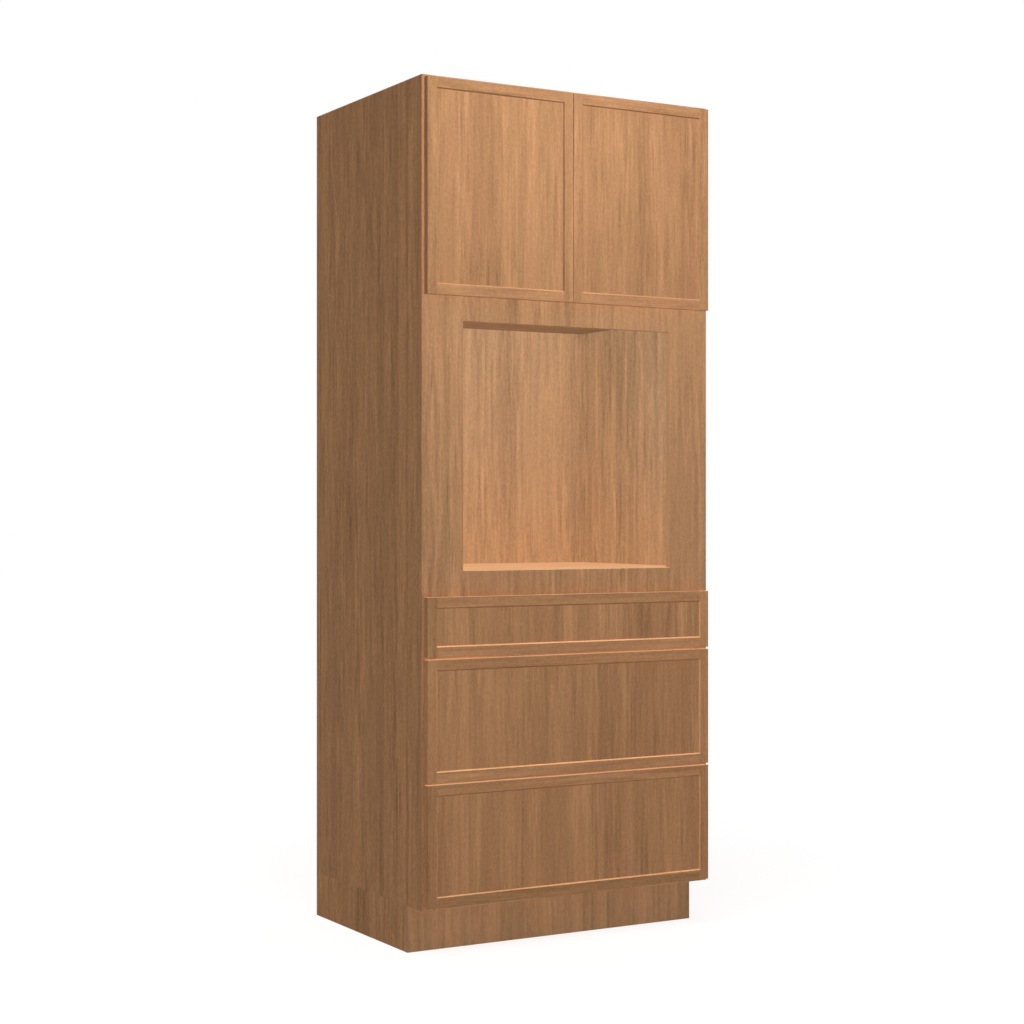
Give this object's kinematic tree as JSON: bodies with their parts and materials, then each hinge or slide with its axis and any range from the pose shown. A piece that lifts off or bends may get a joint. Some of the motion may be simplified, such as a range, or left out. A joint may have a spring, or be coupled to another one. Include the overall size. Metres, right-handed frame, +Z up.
{
  "type": "tall oven housing unit",
  "caption": "Tall face-frame kitchen cabinet in oak veneer for a built-in oven: overlay doors above a square cut-out, drawers below it, on a recessed plinth.",
  "frame": {"origin": "on the floor, under the middle of the outer box of the closed unit", "axes": "+Z up, front faces -Y, +X to the right seen from the front"},
  "size_m": [0.8382, 0.6286, 2.1336],
  "materials": {
    "oak_upright_grain": "oak veneer, grain running up, clear matt lacquer",
    "oak_cross_grain": "solid oak, grain running across, clear matt lacquer",
    "birch": "clear lacquered birch",
    "zinc_plated_steel": "bright zinc",
    "nickel_plated_steel": "satin nickel",
    "clear_plastic": "clear soft plastic"
  },
  "bodies": {
    "cabinet": {"back_panel": "oak_upright_grain", "bottom_deck": "oak_upright_grain", "bottom_drawer_slide_outer": "zinc_plated_steel", "cupboard_deck": "oak_upright_grain", "cupboard_shelf": "oak_upright_grain", "frame_bottom_rail": "oak_cross_grain", "frame_drawer_rails": "oak_cross_grain", "frame_stile_left": "oak_upright_grain", "frame_stile_right": "oak_upright_grain", "frame_top_rail": "oak_cross_grain", "front_bumpers": "clear_plastic", "hinge_plates": "nickel_plated_steel", "hinge_screws": "nickel_plated_steel", "middle_drawer_slide_outer": "zinc_plated_steel", "oven_deck": "oak_upright_grain", "oven_deck_cleats": "birch", "oven_front_panel": "oak_upright_grain", "plinth_back": "oak_upright_grain", "plinth_front": "oak_upright_grain", "plinth_sides": "oak_upright_grain", "shelf_pins": "nickel_plated_steel", "side_panel_left": "oak_upright_grain", "side_panel_right": "oak_upright_grain", "slide_packers": "birch", "top_drawer_slide_outer": "zinc_plated_steel", "top_panel": "oak_upright_grain"},
    "bottom_drawer": {"bottom_drawer_box_bottom": "birch", "bottom_drawer_box_ends": "birch", "bottom_drawer_box_sides": "birch", "bottom_drawer_front_panel": "oak_upright_grain", "bottom_drawer_front_rails": "oak_cross_grain", "bottom_drawer_front_stiles": "oak_upright_grain", "bottom_drawer_slide_inner": "zinc_plated_steel"},
    "bottom_drawer_slide_middle": {"bottom_drawer_slide_middle": "zinc_plated_steel"},
    "left_door": {"left_door_hinge_cups": "nickel_plated_steel", "left_door_panel": "oak_upright_grain", "left_door_rails": "oak_cross_grain", "left_door_stiles": "oak_upright_grain"},
    "left_door_hinge_arms": {"left_door_hinge_links": "nickel_plated_steel"},
    "middle_drawer": {"middle_drawer_box_bottom": "birch", "middle_drawer_box_ends": "birch", "middle_drawer_box_sides": "birch", "middle_drawer_front_panel": "oak_upright_grain", "middle_drawer_front_rails": "oak_cross_grain", "middle_drawer_front_stiles": "oak_upright_grain", "middle_drawer_slide_inner": "zinc_plated_steel"},
    "middle_drawer_slide_middle": {"middle_drawer_slide_middle": "zinc_plated_steel"},
    "right_door": {"right_door_hinge_cups": "nickel_plated_steel", "right_door_panel": "oak_upright_grain", "right_door_rails": "oak_cross_grain", "right_door_stiles": "oak_upright_grain"},
    "right_door_hinge_arms": {"right_door_hinge_links": "nickel_plated_steel"},
    "top_drawer": {"top_drawer_box_bottom": "birch", "top_drawer_box_ends": "birch", "top_drawer_box_sides": "birch", "top_drawer_front_panel": "oak_upright_grain", "top_drawer_front_rails": "oak_cross_grain", "top_drawer_front_stiles": "oak_upright_grain", "top_drawer_slide_inner": "zinc_plated_steel"},
    "top_drawer_slide_middle": {"top_drawer_slide_middle": "zinc_plated_steel"}
  },
  "joints": [
    {"name": "left_hinge_arm_swing", "type": "hinge", "parent": "cabinet", "child": "left_door_hinge_arms", "pos_m": [-0.37825, -0.2968, 1.86488], "axis": [0, 0, 1], "range_deg": [0, 35]},
    {"name": "left_door_swing", "type": "hinge", "parent": "left_door_hinge_arms", "child": "left_door", "pos_m": [-0.40325, -0.3003, 1.86488], "axis": [0, 0, -1], "range_deg": [0, 140]},
    {"name": "right_hinge_arm_swing", "type": "hinge", "parent": "cabinet", "child": "right_door_hinge_arms", "pos_m": [0.37825, -0.2968, 1.86488], "axis": [0, 0, -1], "range_deg": [0, 35]},
    {"name": "right_door_swing", "type": "hinge", "parent": "right_door_hinge_arms", "child": "right_door", "pos_m": [0.40325, -0.3003, 1.86488], "axis": [0, 0, 1], "range_deg": [0, 140]},
    {"name": "top_drawer_pull", "type": "slide", "parent": "cabinet", "child": "top_drawer", "axis": [0, -1, 0], "range_m": [0, 0.5334]},
    {"name": "top_drawer_slide_middle_travel", "type": "slide", "parent": "cabinet", "child": "top_drawer_slide_middle", "axis": [0, -1, 0], "range_m": [0, 0.2667]},
    {"name": "middle_drawer_pull", "type": "slide", "parent": "cabinet", "child": "middle_drawer", "axis": [0, -1, 0], "range_m": [0, 0.5334]},
    {"name": "middle_drawer_slide_middle_travel", "type": "slide", "parent": "cabinet", "child": "middle_drawer_slide_middle", "axis": [0, -1, 0], "range_m": [0, 0.2667]},
    {"name": "bottom_drawer_pull", "type": "slide", "parent": "cabinet", "child": "bottom_drawer", "axis": [0, -1, 0], "range_m": [0, 0.5334]},
    {"name": "bottom_drawer_slide_middle_travel", "type": "slide", "parent": "cabinet", "child": "bottom_drawer_slide_middle", "axis": [0, -1, 0], "range_m": [0, 0.2667]}
  ],
  "couplings": [
    {"joint": "left_hinge_arm_swing", "follows": "left_door_swing", "ratio": 0.25},
    {"joint": "right_hinge_arm_swing", "follows": "right_door_swing", "ratio": 0.25},
    {"joint": "top_drawer_slide_middle_travel", "follows": "top_drawer_pull", "ratio": 0.5},
    {"joint": "middle_drawer_slide_middle_travel", "follows": "middle_drawer_pull", "ratio": 0.5},
    {"joint": "bottom_drawer_slide_middle_travel", "follows": "bottom_drawer_pull", "ratio": 0.5}
  ]
}
